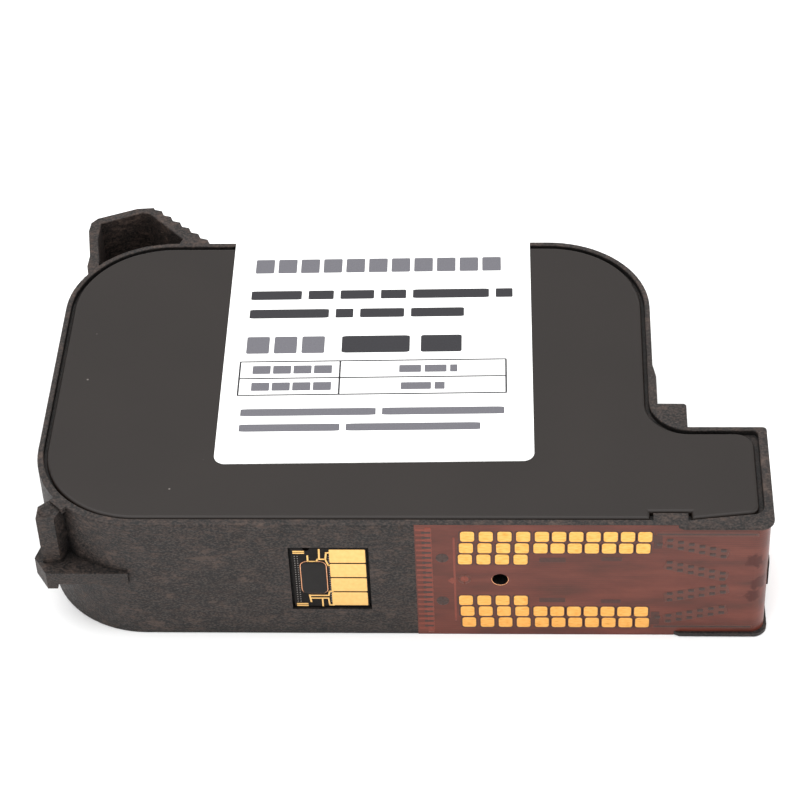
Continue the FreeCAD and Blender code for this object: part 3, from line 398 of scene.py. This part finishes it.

# %% [markdown]
# ## Woven filter screen
# The filters are fine woven steel. Two sine waves at right angles, multiplied, rise and fall like
# the over and under of the weave. The same height gives the relief and painted shade in the dips.

# %% Woven screen
def make_woven_screen():
    material, tree, shader = new_material("woven_steel_screen", "#9a9894", 0.35, metallic=1.0)
    axes = add_node(tree, "ShaderNodeSeparateXYZ", {0: object_place(tree)})
    pitch = 2 * math.pi / (0.12 * MM)
    across = arithmetic(tree, "SINE", arithmetic(tree, "MULTIPLY", axes.outputs["X"], pitch))
    along = arithmetic(tree, "SINE", arithmetic(tree, "MULTIPLY", axes.outputs["Y"], pitch))
    weave = remap(tree, arithmetic(tree, "MULTIPLY", across, along), -1, 1, 0, 1)
    # Painted shade: the dips of the weave are coloured dark.
    tree.links.new(ramp(tree, weave, [(0.1, "#3a3937"), (0.6, "#a9a7a2")]), shader.inputs["Base Color"])
    bump(tree, shader, weave, 0.04, 0.8)
    return material


screen = make_woven_screen()

# %% [markdown]
# ## Finish of every CAD node
# Each solid has one real material, so a table from node to finish says it all. Pieces that later
# steps redraw in finer detail are in the table too, so that nothing is left bare on the way.

# %% Dress the CAD nodes
finishes = {
    "frame": plastic, "inner_frame": natural, "top_cover": coated, "bottom_cover": coated,
    "upper_film": laminate, "lower_film": laminate, "upper_piston": steel, "lower_piston": steel,
    "bow_spring": steel, "upper_filter": screen, "lower_filter": screen, "fill_ball": steel,
    "flex_circuit": polyimide, "contact_pads": gold, "printhead_die": silicon, "die_adhesive": resin,
    "ink_barrier": barrier, "nozzle_plate": nickel, "encapsulant_beads": resin, "chip_board": lacquer,
    "chip_adhesive": resin, "chip_contacts": flash, "chip_globtop": resin, "label": paper}
for name, piece in nodes.items():
    dress(piece, finishes[name])

# %% [markdown]
# ## Soft tiles
# Pads, tracks, print and nozzles are all the same idea: one small tile with soft edges, set down
# many times. No plated or printed edge is truly sharp, and a sharp one catches no light. The tile
# is built ring by ring: two for the wall, three round the edge and two for the swell of the top.

# %% Soft tile
def soft_tile(name, width, depth, height, corner, edge, crown=0.0, steps=5):
    """A tile, in millimetres, standing on z = 0 with a rounded upper edge and a top that swells by crown."""
    bm = bmesh.new()

    def outline(inset, z):
        radius = max(corner - inset, corner * 0.2)
        reach_x, reach_y = width / 2 - inset - radius, depth / 2 - inset - radius
        ring = []
        for quarter, (side_x, side_y) in enumerate(((1, 1), (-1, 1), (-1, -1), (1, -1))):
            for step in range(steps):
                angle = math.pi / 2 * (quarter + step / (steps - 1))
                x = side_x * reach_x + radius * math.cos(angle)
                y = side_y * reach_y + radius * math.sin(angle)
                ring.append(bm.verts.new((x * MM, y * MM, z * MM)))
        return ring

    rings = [outline(0, 0), outline(0, height - edge)]
    for turn in (math.radians(35), math.radians(65), math.radians(90)):
        rings.append(outline(edge * (1 - math.cos(turn)), height - edge + edge * math.sin(turn)))
    for share in (0.8, 0.45):
        level = (height + crown * (1 - share ** 2)) * MM
        rings.append([bm.verts.new((v.co.x * share, v.co.y * share, level)) for v in rings[4]])
    for low, high in zip(rings, rings[1:]):
        for index in range(len(low)):
            after = (index + 1) % len(low)
            bm.faces.new((low[index], low[after], high[after], high[index]))
    middle = bm.verts.new((0, 0, (height + crown) * MM))
    last = rings[-1]
    for index in range(len(last)):
        bm.faces.new((last[index], last[(index + 1) % len(last)], middle))
    bm.faces.new(list(reversed(rings[0])))
    for face in bm.faces:
        face.smooth = True
    mesh = bpy.data.meshes.new(name)
    bm.to_mesh(mesh)
    bm.free()
    tile = bpy.data.objects.new(name, mesh)
    prototypes.objects.link(tile)
    return tile


# %% [markdown]
# ## A tree that sets copies
# A Geometry Nodes tree sets a copy of the tile on every point of a mesh, turned and sized by that
# point's own attributes. The tree has named inputs, so that one tree serves every repeat, and its
# result is baked to one plain mesh. Hand-placed objects would be slower and easy to get wrong.

# %% Copying tree
def make_copy_tree():
    """Points in, copies of one object out, with one material."""
    tree = bpy.data.node_groups.new("set_copies", "GeometryNodeTree")
    for name, kind in (("Points", "Geometry"), ("Prototype", "Object"), ("Material", "Material")):
        tree.interface.new_socket(name, in_out="INPUT", socket_type="NodeSocket" + kind)
    tree.interface.new_socket("Copies", in_out="OUTPUT", socket_type="NodeSocketGeometry")
    source = add_node(tree, "NodeGroupInput").outputs
    shape = add_node(tree, "GeometryNodeObjectInfo", {"Object": source["Prototype"]}).outputs["Geometry"]
    turn = add_node(tree, "GeometryNodeInputNamedAttribute", {"Name": "turn"}, data_type="FLOAT_VECTOR")
    size = add_node(tree, "GeometryNodeInputNamedAttribute", {"Name": "size"}, data_type="FLOAT_VECTOR")
    turned = add_node(tree, "FunctionNodeEulerToRotation", {"Euler": turn.outputs["Attribute"]})
    copies = add_node(tree, "GeometryNodeInstanceOnPoints", {
        "Points": source["Points"], "Instance": shape, "Rotation": turned.outputs["Rotation"],
        "Scale": size.outputs["Attribute"]})
    solid = add_node(tree, "GeometryNodeRealizeInstances", {"Geometry": copies.outputs["Instances"]})
    dressed = add_node(tree, "GeometryNodeSetMaterial", {
        "Geometry": solid.outputs["Geometry"], "Material": source["Material"]})
    add_node(tree, "NodeGroupOutput", {"Copies": dressed.outputs["Geometry"]})
    return tree


copy_tree = make_copy_tree()
prototypes = bpy.data.collections.new("prototypes")
scene.collection.children.link(prototypes)

# %% [markdown]
# ## Seats, and the pieces that are kept
# A seat says where one copy goes, how it lies and how big it is. What the tree makes of the seats
# becomes a piece of its own. It rides on the cartridge, has a slot that names its material, and
# may stand for a CAD node, which is then hidden.

# %% Seats, copies and kept pieces
# How a tile lies on each face: its own x and y run to the right and up, and its top faces outwards.
ON_FRONT = Matrix.Rotation(math.pi / 2, 3, "X")
ON_TOP = Matrix.Identity(3)
ON_END = Matrix(((0, 0, 1), (1, 0, 0), (0, 1, 0)))


def seat(place, face, size=(1, 1, 1), spin=0.0):
    """One point for the tree: where a copy goes, how it is turned and how it is sized."""
    return Vector(place), tuple((face @ Matrix.Rotation(spin, 3, "Z")).to_euler()), size


def set_copies(name, prototype, seats, material, stands_for=()):
    """Runs the tree on the seats and keeps the result as one plain mesh on the cartridge."""
    points = bpy.data.meshes.new(name + "_points")
    points.from_pydata([place for place, turn, size in seats], [], [])
    for index, attribute in ((1, "turn"), (2, "size")):
        layer = points.attributes.new(attribute, "FLOAT_VECTOR", "POINT")
        layer.data.foreach_set("vector", [value for item in seats for value in item[index]])
    holder = bpy.data.objects.new(name + "_points", points)
    scene.collection.objects.link(holder)
    modifier = holder.modifiers.new("copies", "NODES")
    modifier.node_group = copy_tree
    sockets = {item.name: item.identifier for item in copy_tree.interface.items_tree}
    modifier[sockets["Prototype"]] = prototype
    modifier[sockets["Material"]] = material
    graph = bpy.context.evaluated_depsgraph_get()
    mesh = bpy.data.meshes.new_from_object(holder.evaluated_get(graph))
    bpy.data.objects.remove(holder)
    return keep(name, mesh, stands_for)


def keep(name, mesh, stands_for=()):
    """A finished mesh becomes a named piece that rides on the cartridge."""
    piece = bpy.data.objects.new(name, mesh)
    scene.collection.objects.link(piece)
    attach(piece, "cartridge")
    if stands_for:
        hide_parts(*stands_for)
    print(f"{name}: {len(mesh.polygons)} faces")
    return piece


# %% [markdown]
# ## Reading places back from the solids
# The pads are one CAD node, yet each needs its own copy of the tile. Their places are read from
# the solid itself, so that a change in the CAD moves the copies too. Touching triangles are merged
# first, then each connected group is walked to find its box.

# %% Boxes of the separate solids
def islands(node):
    """The box of every separate solid in a CAD node, once its loose triangles are merged."""
    bm = bmesh.new()
    bm.from_mesh(node.data)
    bmesh.ops.remove_doubles(bm, verts=bm.verts, dist=MERGE)
    seen, boxes = set(), []
    for first in bm.verts:
        if first in seen:
            continue
        seen.add(first)
        group, waiting = [], [first]
        while waiting:
            vertex = waiting.pop()
            group.append(vertex.co.copy())
            for edge in vertex.link_edges:
                other = edge.other_vert(vertex)
                if other not in seen:
                    seen.add(other)
                    waiting.append(other)
        low = Vector([min(co[axis] for co in group) for axis in range(3)])
        high = Vector([max(co[axis] for co in group) for axis in range(3)])
        boxes.append((low, high))
    bm.free()
    return boxes


# %% [markdown]
# ## Contact pads
# Each pad is a low plated island with soft edges and a slightly dished top, where the spring
# contact of the holder presses. Its place comes from the CAD node. A darker surround, a little
# wider than the pad, is the window that is opened in the film around it.

# %% Contact pads
pad_boxes = islands(nodes["contact_pads"])
PAD_RISE = 0.05
pad_size = (pad_boxes[0][1].x - pad_boxes[0][0].x) / MM
pad_tile = soft_tile("pad_tile", pad_size, pad_size, PAD_RISE, 0.38, 0.04, crown=-0.018)
surround_tile = soft_tile("surround_tile", pad_size + 0.5, pad_size + 0.34, 0.008, 0.45, 0.004)
pad_middles = [Vector(((low.x + high.x) / 2, CONTACT_Y, (low.z + high.z) / 2)) for low, high in pad_boxes]
pad_seats = [seat(place, ON_FRONT) for place in pad_middles]
set_copies("contact_pad_plating", pad_tile, pad_seats, gold, ("contact_pads",))
set_copies("pad_windows", surround_tile, pad_seats, window_edge)

# %% [markdown]
# ## Tracks that show through the film
# At the left edge the tracks end in a comb, cut when the circuit was punched from its strip: grey
# rungs of bare film between red ones of copper. Two test lands, a locating target and a bus line
# stand beside it. The film covers all of them, so they show as colour and hardly as relief.

# %% Comb, lands and bus line
bar_tile = soft_tile("bar_tile", 1, 1, 1, 0.08, 0.08)
round_tile = soft_tile("round_tile", 1, 1, 1, 0.5, 0.3, steps=8)


def on_flex(x_mm, z_mm, size, spin=0.0):
    """A seat on the contact face, for a place in millimetres."""
    return seat((x_mm * MM, CONTACT_Y, z_mm * MM), ON_FRONT, size, spin)


FILM_LEFT = flex_low.x / MM
PAD_LEVEL = hole_place.z / MM
COMB_PITCH, COMB_FIRST, COMB_COUNT = 0.98, 1.72, 20
red_tracks = [on_flex(FILM_LEFT + 1.85, 10.85, (0.9, 21.0, 0.006)),
              on_flex(FILM_LEFT + 5.35, 11.1, (0.28, 16.6, 0.008)),
              on_flex(FILM_LEFT + 5.0, 10.9, (0.9, 0.9, 0.007), math.pi / 4)]
red_tracks += [on_flex(FILM_LEFT + 1.25, COMB_FIRST + COMB_PITCH * (row - 0.5), (2.2, 0.36, 0.010))
               for row in range(COMB_COUNT + 1)]
grey_tracks = [on_flex(FILM_LEFT + 1.6, COMB_FIRST + COMB_PITCH * row, (1.25, 0.36, 0.014))
               for row in range(COMB_COUNT)]
for level in (20.1, 1.75):
    grey_tracks.append(on_flex(42.0, level, (13.5, 0.30, 0.012)))
red_spots = [on_flex(9.0, 11.25, (1.1, 1.1, 0.020))]
grey_spots = [on_flex(6.0, 15.4, (1.75, 1.75, 0.010)), on_flex(5.9, 6.85, (1.75, 1.75, 0.010))]
dim_spots = [on_flex(9.0, 11.25, (1.85, 1.85, 0.010))]
set_copies("red_tracks", bar_tile, red_tracks, track_red)
set_copies("grey_tracks", bar_tile, grey_tracks, track_grey)
set_copies("red_lands", round_tile, red_spots, track_red)
set_copies("grey_lands", round_tile, grey_spots, track_grey)
set_copies("dim_lands", round_tile, dim_spots, track_dim)

# %% [markdown]
# ## Dimples over the snout
# Four fans of paired dimples mark where tracks run side by side towards the nozzles and the film
# bulges over them. Each fan leans towards the middle. Under it lies a dim band, the copper below,
# and darker patches between the pads are places where there is no copper.

# %% Dimples, bands and patches
# Each fan: first pair's x and z, drop per pair, distance between the two dimples of a pair.
FANS = ((37.05, 18.4, -0.40, 1.15), (37.10, 14.1, -0.43, 1.15),
        (37.30, 7.8, 0.32, 1.25), (37.25, 3.45, 0.35, 1.15))
PAIRS, PAIR_PITCH = 6, 1.46
dimple_tile = soft_tile("dimple_tile", 0.80, 0.56, 0.05, 0.14, 0.04, crown=0.05)
dimples, dark_patches = [], []
dim_tracks = [on_flex(42.0, 20.1, (14.0, 0.9, 0.008)), on_flex(42.0, 1.75, (14.0, 0.6, 0.008))]
for side in (1, -1):
    dark_patches += [on_flex(21.1, PAD_LEVEL + 4.0 * side, (3.6, 0.9, 0.008)),
                     on_flex(29.2, PAD_LEVEL + 4.2 * side, (2.8, 0.7, 0.008)),
                     on_flex(35.4, PAD_LEVEL + 7.6 * side, (1.2, 2.6, 0.008))]
for first_x, first_z, drop, gap in FANS:
    slope = math.atan2(drop, PAIR_PITCH)
    half = (PAIRS - 1) / 2
    middle_x, middle_z = first_x + PAIR_PITCH * half, first_z + drop * half
    dim_tracks.append(on_flex(middle_x, middle_z, (9.0, gap + 0.75, 0.008), slope))
    for pair in range(PAIRS):
        x, z = first_x + PAIR_PITCH * pair, first_z + drop * pair
        dimples += [on_flex(x, z + gap * side, (1, 1, 1)) for side in (-0.5, 0.5)]
dimples += [on_flex(35.65, 18.2, (1, 1, 1)), on_flex(35.75, 3.65, (1, 1, 1))]
set_copies("film_dimples", dimple_tile, dimples, track_grey)
set_copies("dim_tracks", bar_tile, dim_tracks, track_dim)
set_copies("dark_patches", bar_tile, dark_patches, window_edge)

# %% [markdown]
# ## Torn copper at the locating hole
# The hole is punched through film and copper, which leaves a bright, slightly ragged lip. It is a
# thin ring whose radius wanders from point to point, with a fixed seed so that it never changes.

# %% Copper lip
def ragged_ring(name, centre, radius_mm, thickness_mm, wander_mm, seed):
    """A ring about the Y axis, made as a circle swept round with a radius that wanders."""
    rng = random.Random(seed)
    around, section = 56, 8
    shifts = [rng.uniform(0, wander_mm) for _ in range(around)]
    points = []
    for step in range(around):
        turn = 2 * math.pi * step / around
        middle = radius_mm - (shifts[step] + shifts[step - 1]) / 2
        for part in range(section):
            angle = 2 * math.pi * part / section
            reach = (middle + thickness_mm * math.cos(angle)) * MM
            depth = thickness_mm * math.sin(angle) * MM
            points.append(centre + Vector((reach * math.cos(turn), depth, reach * math.sin(turn))))
    faces = []
    for step in range(around):
        after = (step + 1) % around
        for part in range(section):
            beyond = (part + 1) % section
            faces.append((step * section + part, step * section + beyond,
                          after * section + beyond, after * section + part))
    mesh = bpy.data.meshes.new(name)
    mesh.from_pydata(points, [], faces)
    mesh.polygons.foreach_set("use_smooth", [True] * len(faces))
    return mesh


LIP_DEPTH, LIP_RADIUS, LIP_THICKNESS, LIP_WANDER, LIP_SEED = 0.16, 1.20, 0.08, 0.06, 5
lip_middle = Vector((hole_place.x, CONTACT_Y + LIP_DEPTH * MM, hole_place.z))
lip_mesh = ragged_ring("copper_lip", lip_middle, LIP_RADIUS, LIP_THICKNESS, LIP_WANDER, LIP_SEED)
copper_lip = keep("copper_lip", lip_mesh)
dress(copper_lip, copper)

# %% [markdown]
# ## Memory board
# A small board with four wide contacts and a chip under a drop of black resin. The board has a
# round notch in its upper edge, where it was snapped from its panel. The solid model leaves the
# notch out, so the board is redrawn here from its CAD box, with the notch.

# %% Board with its notch
NOTCH_X, NOTCH_RADIUS = 2.1, 0.5
notched = [Vector((board_low.x, 0, board_low.z)), Vector((board_high.x, 0, board_low.z)),
           Vector((board_high.x, 0, board_high.z))]
for step in range(9):
    angle = math.pi * step / 8
    notched.append(Vector((board_low.x + (NOTCH_X + NOTCH_RADIUS * math.cos(angle)) * MM, 0,
                           board_high.z - NOTCH_RADIUS * math.sin(angle) * MM)))
notched.append(Vector((board_low.x, 0, board_high.z)))
bm = bmesh.new()
front = [bm.verts.new((p.x, board_low.y, p.z)) for p in notched]
rear = [bm.verts.new((p.x, board_high.y, p.z)) for p in notched]
bm.faces.new(front)
bm.faces.new(list(reversed(rear)))
for index in range(len(notched)):
    after = (index + 1) % len(notched)
    bm.faces.new((front[after], front[index], rear[index], rear[after]))
bmesh.ops.recalc_face_normals(bm, faces=bm.faces)
board_mesh = bpy.data.meshes.new("memory_board")
bm.to_mesh(board_mesh)
bm.free()
memory_board = keep("memory_board", board_mesh, ("chip_board",))
dress(memory_board, lacquer)

# %% [markdown]
# ## What the board carries
# The tracks are bare gold, drawn as strings of bars between corners, measured from the board's
# lower left corner. Rows of tiny print dots stand beside them. The chip is potted: a copper dam
# stops the resin from running, and the drop of resin swells a little in the middle.

# %% Contacts
BOARD_Y = board_low.y


def on_board(x_mm, z_mm, size, spin=0.0):
    """A seat on the board's face, measured in millimetres from its lower left corner."""
    place = (board_low.x + x_mm * MM, BOARD_Y, board_low.z + z_mm * MM)
    return seat(place, ON_FRONT, size, spin)


contact_boxes = islands(nodes["chip_contacts"])
contact_wide = (contact_boxes[0][1].x - contact_boxes[0][0].x) / MM
contact_tall = (contact_boxes[0][1].z - contact_boxes[0][0].z) / MM
contact_tile = soft_tile("contact_tile", contact_wide, contact_tall, 0.05, 0.16, 0.03)
contact_seats = [seat(((low.x + high.x) / 2, BOARD_Y, (low.z + high.z) / 2), ON_FRONT)
                 for low, high in contact_boxes]
set_copies("board_contact_plating", contact_tile, contact_seats, flash, ("chip_contacts",))


# %% Tracks and print dots
def track(corners, width_mm, height_mm=0.03):
    """Bars along a line of corners, each run on by half its width so that the corners close."""
    bars = []
    for (x0, z0), (x1, z1) in zip(corners, corners[1:]):
        run, turn = math.hypot(x1 - x0, z1 - z0) + width_mm, math.atan2(z1 - z0, x1 - x0)
        bars.append(on_board((x0 + x1) / 2, (z0 + z1) / 2, (run, width_mm, height_mm), turn))
    return bars


tracks = track([(2.25, 10.1), (2.25, 9.0), (3.4, 9.0), (3.65, 9.45), (4.7, 9.45), (4.85, 10.7),
                (5.4, 10.75)], 0.24)
tracks += track([(3.9, 11.35), (3.85, 9.6)], 0.24) + track([(4.75, 9.2), (5.05, 8.25), (5.4, 8.2)], 0.22)
tracks += track([(2.15, 2.25), (2.3, 0.95)], 0.24)
tracks += track([(2.3, 2.2), (4.8, 2.2), (4.95, 3.0), (5.4, 3.05)], 0.22)
tracks += track([(2.4, 1.65), (4.75, 1.65), (4.85, 0.3), (5.4, 0.25)], 0.22)
tracks += track([(3.9, 1.6), (3.9, 0.1)], 0.22)
for level in (10.95, 10.6, 0.45, 0.1):
    tracks += track([(0.35, level + 0.05), (1.75, level + 0.05)], 0.22)
set_copies("board_tracks", bar_tile, tracks, flash)

dots = [on_board(x, 1.0 + 0.45 * row, (0.14, 0.14, 0.01)) for x in (0.45, 0.85, 5.15) for row in range(21)]
set_copies("board_dots", bar_tile, dots, silk)

# %% Dam and resin
glob_low, glob_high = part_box("chip_globtop")
glob_wide, glob_tall = (glob_high.x - glob_low.x) / MM, (glob_high.z - glob_low.z) / MM
glob_middle = Vector(((glob_low.x + glob_high.x) / 2, BOARD_Y, (glob_low.z + glob_high.z) / 2))
dam_tile = soft_tile("dam_tile", glob_wide + 0.22, glob_tall + 0.22, 0.02, 0.95, 0.015, steps=8)
glob_tile = soft_tile("glob_tile", glob_wide, glob_tall, 0.2, 0.8, 0.16, crown=0.08, steps=8)
set_copies("resin_dam", dam_tile, [seat(glob_middle, ON_FRONT)], copper)
set_copies("chip_resin", glob_tile, [seat(glob_middle, ON_FRONT)], resin, ("chip_globtop",))

# %% [markdown]
# ## Label
# The label is paper, stuck on a little askew. Its print is kept generic: every line of text is a
# row of plain bars, as designers do when only the look of a page matters, and a ruled table stands
# between them. Distances are measured from the label's front left corner, along its own edges.

# %% Label print
LABEL_TURN = math.radians(0.9)
label_shift = (label_high.y - label_low.y) * math.tan(LABEL_TURN)
label_corner = Vector((label_low.x + label_shift, label_low.y, label_high.z))
PRINT_HEIGHT = 0.006


def on_label(left, right, low, high):
    """A bar of print between two distances along the label and two up it."""
    middle = Matrix.Rotation(LABEL_TURN, 3, "Z") @ Vector(((left + right) / 2, (low + high) / 2, 0))
    return seat(label_corner + middle * MM, ON_TOP, (right - left, high - low, PRINT_HEIGHT), LABEL_TURN)


def words(left, right, low, high, lengths, gap):
    """A line of word bars that fills the space from left to right, in the given proportions."""
    share = (right - left - gap * (len(lengths) - 1)) / sum(lengths)
    bars, start = [], left
    for length in lengths:
        bars.append(on_label(start, start + length * share, low, high))
        start += length * share + gap
    return bars


TEXT_LEFT = 3.1
bold = words(TEXT_LEFT, 42.0, 34.9, 36.9, (6, 3, 4, 3, 9, 2), 1.0)
bold += words(TEXT_LEFT, 34.8, 30.7, 32.7, (9, 2, 5, 6), 1.0)
bold += words(17.0, 34.5, 22.9, 26.6, (5, 3), 1.6)
for level in (14.0, 17.55, 21.15):
    bold.append(on_label(2.35, 41.0, level - 0.13, level + 0.13))
for place in (2.45, 16.95, 40.9):
    bold.append(on_label(place - 0.13, place + 0.13, 14.0, 21.15))
thin = words(TEXT_LEFT + 0.3, 40.3, 41.0, 44.2, (1,) * 11, 0.6)
thin += words(TEXT_LEFT, 14.5, 22.9, 26.6, (1,) * 3, 0.7)
for low in (14.9, 18.5):
    thin += words(4.3, 15.8, low, low + 1.75, (1,) * 4, 0.35)
thin += words(25.5, 33.9, 18.55, 20.1, (3, 3, 1), 0.5) + words(25.8, 32.1, 14.9, 16.4, (3, 1), 0.5)
thin += words(TEXT_LEFT, 40.6, 9.6, 11.1, (10, 9), 0.9) + words(TEXT_LEFT, 37.2, 6.4, 7.9, (6, 8), 0.9)
set_copies("bold_print", bar_tile, bold, ink_bold)
set_copies("thin_print", bar_tile, thin, ink_thin)

# %% [markdown]
# ## Nozzles
# The nozzle plate carries two rows of orifices half an inch long, staggered by half a pitch. They
# are thin dark discs, far too fine to cut, which is why the solid model leaves them to this step.

# %% Nozzles
NOZZLES, SWATH, ROW_GAP = 150, 12.7, 1.9
nozzle_tile = soft_tile("nozzle_tile", 0.05, 0.05, 0.004, 0.024, 0.002, steps=3)
plate_middle = Vector((plate_high.x, (plate_low.y + plate_high.y) / 2, (plate_low.z + plate_high.z) / 2))
nozzle_seats = []
for row, side in enumerate((-0.5, 0.5)):
    for count in range(NOZZLES):
        along = SWATH * ((count + row / 2) / NOZZLES - 0.5)
        nozzle_seats.append(seat(plate_middle + Vector((0, along, ROW_GAP * side)) * MM, ON_END))
set_copies("nozzles", nozzle_tile, nozzle_seats, orifice)

# %% [markdown]
# ## Spring between the plates
# Inside, a bow spring pushes two plates apart and so holds the ink under a slight vacuum. When the
# plates close in on each other, the spring must flatten with them. Here the spring keeps its CAD
# shape: its mesh is copied with touching vertices merged, and stands in for the CAD node.

# %% Bow spring
spring_mesh = nodes["bow_spring"].data.copy()
bm = bmesh.new()
bm.from_mesh(spring_mesh)
bmesh.ops.remove_doubles(bm, verts=bm.verts, dist=MERGE)
bm.to_mesh(spring_mesh)
bm.free()
spring = keep("spring_strip", spring_mesh, ("bow_spring",))
dress(spring, steel)
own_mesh(spring)

# %% [markdown]
# ## Floor
# A plain white sweep. It isn't part of the object.

# %% Floor
REACH, GAP = 3.0, 0.02 * MM
floor_mesh = bpy.data.meshes.new("floor")
floor_mesh.from_pydata([(-REACH, -REACH, 0), (REACH, -REACH, 0), (REACH, REACH, 0), (-REACH, REACH, 0)], [],
                       [(0, 1, 2, 3)])
floor = bpy.data.objects.new("floor", floor_mesh)
floor.location.z = cad_box[0][2] - GAP
scene.collection.objects.link(floor)
dress(floor, new_material("white_sweep", "#f8f8f8", 0.9)[0])

# %% [markdown]
# ## The end
# The tiles have served their purpose and go.

# %% Remove the tiles
for tile in list(prototypes.objects):
    bpy.data.objects.remove(tile)
bpy.data.collections.remove(prototypes)
